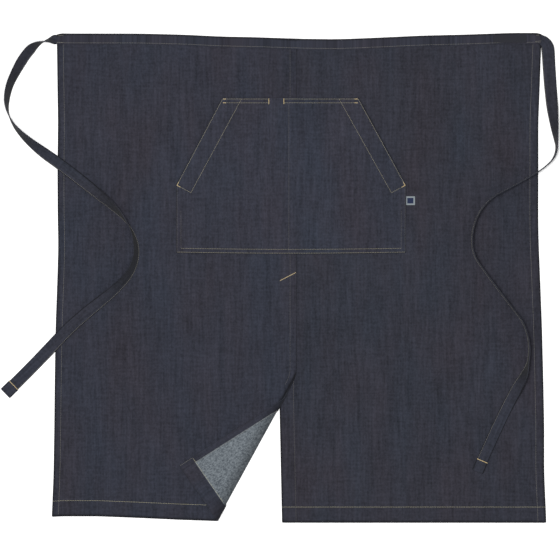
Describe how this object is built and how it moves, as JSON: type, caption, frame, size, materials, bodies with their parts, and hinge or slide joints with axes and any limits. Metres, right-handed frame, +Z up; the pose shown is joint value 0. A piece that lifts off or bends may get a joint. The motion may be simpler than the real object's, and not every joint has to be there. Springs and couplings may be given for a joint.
{
  "type": "waist apron",
  "caption": "Long denim waist apron laid flat with a lapped, vented centre front, a wide pocket with slanted mouths and a pen slot, a waistband and two long flat ties.",
  "frame": {"origin": "middle of the apron's footprint, ties included, on the surface that it lies on", "axes": "+X along the waistband to the viewer's right, +Y from the hem towards the waistband, +Z up off the surface, out of the apron's front"},
  "size_m": [1.085, 0.9542, 0.0246],
  "materials": {
    "denim_left": "dark indigo twill with fine slub streaks, matte",
    "denim_right": "dark indigo twill with fine slub streaks, matte",
    "denim_pocket": "dark indigo twill, matte",
    "denim_band": "dark indigo twill, matte, slightly puckered along its stitching",
    "denim_tie": "dark indigo twill, folded and edge stitched, paler along its folds",
    "band_label": "plain dark woven label",
    "side_tag": "plain pale woven loop tag"
  },
  "bodies": {
    "root": {"waistband": "denim_band", "over_panel": "denim_left", "under_panel": "denim_right", "pocket": "denim_pocket", "left_tie": "denim_tie", "right_tie": "denim_tie", "band_label": "band_label", "side_tag": "side_tag"}
  },
  "joints": []
}
